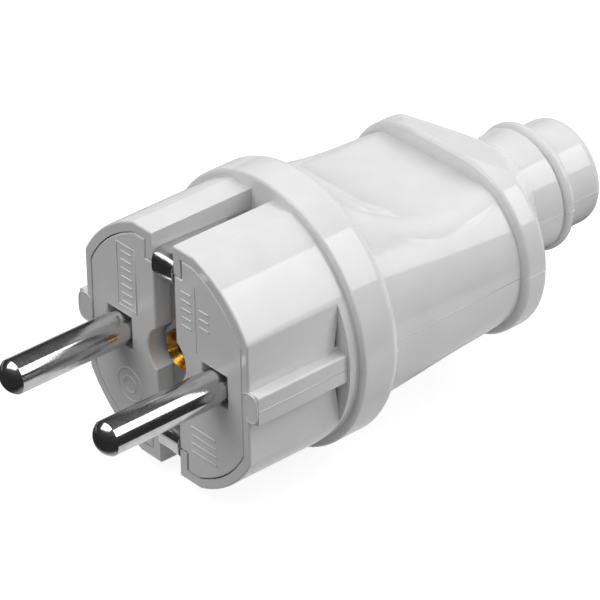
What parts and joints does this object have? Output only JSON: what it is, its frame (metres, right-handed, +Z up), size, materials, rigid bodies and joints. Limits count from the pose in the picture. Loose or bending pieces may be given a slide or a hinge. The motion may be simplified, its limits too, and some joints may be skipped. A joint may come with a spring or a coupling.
{
  "type": "grounded plug",
  "caption": "Straight earthed mains plug with round pins, spring earth contacts on its sleeve, a round collar, a waisted grip, and a sloping shoulder with a grooved neck for the cord.",
  "frame": {"origin": "middle of the front face, halfway between the pins", "axes": "+Y along the plug from the front face towards the cord, +X across the pins, +Z up towards one earth contact"},
  "size_m": [0.0388, 0.0895, 0.0388],
  "materials": {
    "white_plastic": "gloss white moulded plastic",
    "carrier_plastic": "satin white moulded plastic",
    "nickel": "bright nickel plating",
    "brass": "plain brass",
    "zinc_steel": "zinc plated",
    "clamp_plastic": "light grey moulded plastic"
  },
  "bodies": {
    "root": {"housing": "white_plastic", "pin_carrier": "carrier_plastic", "pin_left": "nickel", "pin_right": "nickel", "earth_strip": "nickel", "hollow_rivet": "brass", "earth_terminal": "brass", "terminal_left": "brass", "terminal_right": "brass", "terminal_screw_left": "zinc_steel", "terminal_screw_right": "zinc_steel", "earth_clamp_washer": "zinc_steel", "earth_spring_washer": "zinc_steel", "earth_screw": "zinc_steel", "cord_clamp_bar": "clamp_plastic", "cord_clamp_screw_left": "zinc_steel", "cord_clamp_screw_right": "zinc_steel", "cord_clamp_nut_left": "zinc_steel", "cord_clamp_nut_right": "zinc_steel"}
  },
  "joints": []
}
